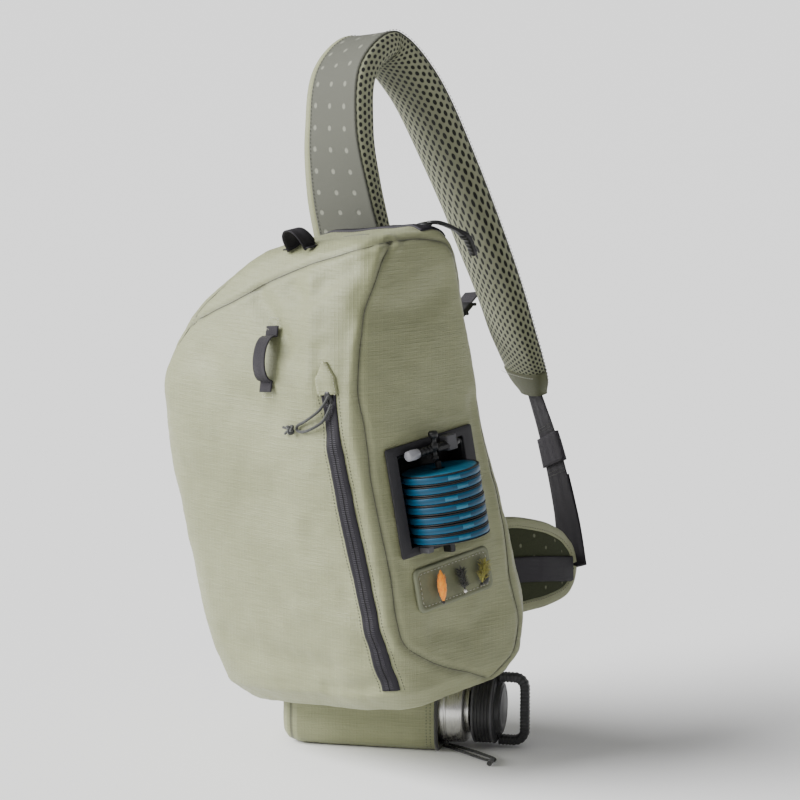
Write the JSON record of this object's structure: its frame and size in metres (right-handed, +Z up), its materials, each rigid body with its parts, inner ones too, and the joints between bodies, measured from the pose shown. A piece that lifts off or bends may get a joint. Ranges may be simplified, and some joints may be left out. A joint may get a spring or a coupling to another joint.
{
  "type": "fishing sling bag",
  "caption": "Padded fishing sling bag with zips, a side holder of tippet spools, a fly patch and a steel bottle in a sleeve under its base.",
  "frame": {"origin": "middle of the bottle sleeve's flat underside, on which the bag stands", "axes": "+Z up, -Y towards the bag's front panel, +X towards its spool holder; the bag leans 6 degrees forward and 7 degrees to its left"},
  "size_m": [0.3091, 0.3392, 0.6044],
  "materials": {
    "fabric": "coated ripstop, satin",
    "zip": "coated zip tape, matt",
    "webbing": "woven, matt",
    "mesh": "spacer mesh, matt",
    "plastic": "moulded, matt",
    "spool": "moulded, semi-gloss",
    "steel": "brushed",
    "cord": "braided, matt",
    "orange_fly": "tied fibres",
    "black_fly": "tied fibres",
    "olive_fly": "tied fibres"
  },
  "bodies": {
    "root": {"body_shell": "fabric", "main_zip": "zip", "front_zip": "zip", "zip_hood": "fabric", "main_zip_pull": "plastic", "front_loop": "webbing", "top_loop": "webbing", "spool_well": "plastic", "spool_1": "spool", "spool_2": "spool", "spool_3": "spool", "spool_4": "spool", "spool_5": "spool", "spool_6": "spool", "spool_7": "spool", "spool_bar": "plastic", "spool_toggle": "plastic", "fly_patch": "fabric", "fly_orange": "orange_fly", "fly_black": "black_fly", "fly_olive": "olive_fly", "shoulder_strap": "mesh", "hip_pad": "fabric", "strap_webbing": "webbing", "webbing_keeper": "webbing", "pad_webbing": "webbing", "strap_stay": "webbing", "front_pull_cord": "cord", "front_pull_knot": "cord", "bottle_sleeve": "fabric", "bottle": "steel", "bottle_lid": "plastic", "sleeve_drawcord": "cord", "drawcord_end": "cord"}
  },
  "joints": []
}
